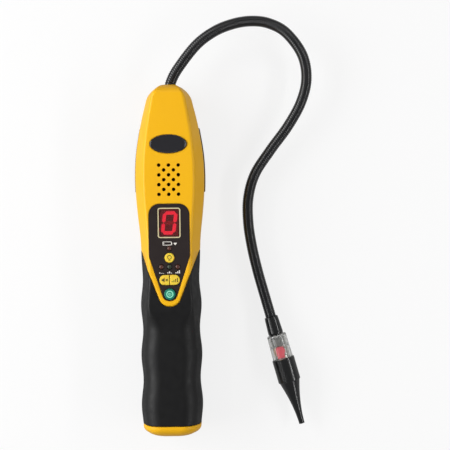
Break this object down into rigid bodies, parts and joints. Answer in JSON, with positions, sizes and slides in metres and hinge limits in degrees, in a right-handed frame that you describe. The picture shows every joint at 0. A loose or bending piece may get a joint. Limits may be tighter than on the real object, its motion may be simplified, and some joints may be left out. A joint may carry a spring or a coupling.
{
  "type": "refrigerant leak detector",
  "caption": "Hand-held leak detector: moulded case with rubber grip, key panel and display, on a gooseneck with a sensor nozzle.",
  "frame": {"origin": "middle of the flat back that the case lies on, under the middle of the case's length", "axes": "+Y along the case towards the gooseneck, +Z out of the key side, +X towards the probe"},
  "size_m": [0.1178, 0.2756, 0.0391],
  "materials": {
    "yellow_abs": "satin moulded ABS",
    "black_rubber": "matt moulded rubber",
    "charcoal_film": "fine matt film",
    "gloss_black": "gloss moulded",
    "key_yellow": "satin silicone rubber",
    "key_teal": "satin silicone rubber",
    "red_lens": "gloss tinted clear plastic",
    "led_red": "diffused lamp lens",
    "led_green": "diffused lamp lens",
    "module_grey": "moulded",
    "board_green": "solder mask on glass laminate",
    "plated_steel": "nickel plated",
    "cell_jacket": "printed film on a steel can",
    "neck_black": "satin black coating on a ribbed metal hose",
    "probe_black": "satin moulded",
    "clear_lens": "clear moulded polycarbonate",
    "grey_nylon": "moulded",
    "lamp_red": "tinted lamp lens"
  },
  "bodies": {
    "case": {"front_shell": "yellow_abs", "rear_shell": "yellow_abs", "rear_pad": "black_rubber", "front_grip": "black_rubber", "rear_grip": "black_rubber", "badge": "gloss_black", "key_panel": "charcoal_film", "display_window": "red_lens", "display_module": "module_grey", "switch_lamp": "gloss_black", "switch_left": "gloss_black", "switch_right": "gloss_black", "switch_power": "gloss_black", "led_low_battery": "led_red", "led_level_low": "led_red", "led_level_normal": "led_green", "led_level_high": "led_red", "main_board": "board_green", "board_screw_1": "plated_steel", "board_screw_2": "plated_steel", "board_screw_3": "plated_steel", "board_screw_4": "plated_steel", "case_screw_1": "plated_steel", "case_screw_2": "plated_steel", "case_screw_3": "plated_steel", "case_screw_4": "plated_steel", "speaker": "module_grey", "battery_1": "cell_jacket", "battery_2": "cell_jacket", "battery_3": "cell_jacket", "battery_4": "cell_jacket", "contact_left": "plated_steel", "contact_right": "plated_steel", "gooseneck": "neck_black", "neck_ferrule": "plated_steel", "lock_nut": "plated_steel"},
    "lamp_key": {"key_lamp": "key_yellow"},
    "left_key": {"key_left": "key_yellow"},
    "right_key": {"key_right": "key_yellow"},
    "power_key": {"key_power": "key_teal"},
    "cap": {"end_cap": "yellow_abs", "cap_contact": "plated_steel", "cap_spring_left": "plated_steel", "cap_spring_right": "plated_steel"},
    "probe": {"probe_collar": "probe_black", "lamp_ring": "clear_lens", "sensor_plug": "grey_nylon", "sensor_socket": "grey_nylon", "tip_lamp": "lamp_red", "sensor": "plated_steel"},
    "nozzle": {"nozzle": "probe_black"}
  },
  "joints": [
    {"name": "lamp_key_press", "type": "slide", "parent": "case", "child": "lamp_key", "axis": [0, 0, -1], "range_m": [0, 0.0008], "stiffness_N_per_m": 1500},
    {"name": "left_key_press", "type": "slide", "parent": "case", "child": "left_key", "axis": [0, 0, -1], "range_m": [0, 0.0008], "stiffness_N_per_m": 1500},
    {"name": "right_key_press", "type": "slide", "parent": "case", "child": "right_key", "axis": [0, 0, -1], "range_m": [0, 0.0008], "stiffness_N_per_m": 1500},
    {"name": "power_key_press", "type": "slide", "parent": "case", "child": "power_key", "axis": [0, 0, -1], "range_m": [0, 0.0008], "stiffness_N_per_m": 1500},
    {"name": "end_cap_pull", "type": "slide", "parent": "case", "child": "cap", "axis": [0, -1, 0], "range_m": [0, 0.02]},
    {"name": "neck_bend", "type": "hinge", "parent": "case", "child": "probe", "pos_m": [0.02405, 0.14575, 0.01855], "axis": [0, 0, 1], "range_deg": [-8, 60], "deforming": ["gooseneck"]},
    {"name": "nozzle_pull", "type": "slide", "parent": "probe", "child": "nozzle", "axis": [0.2689, -0.9632, 0], "range_m": [0, 0.025]}
  ]
}
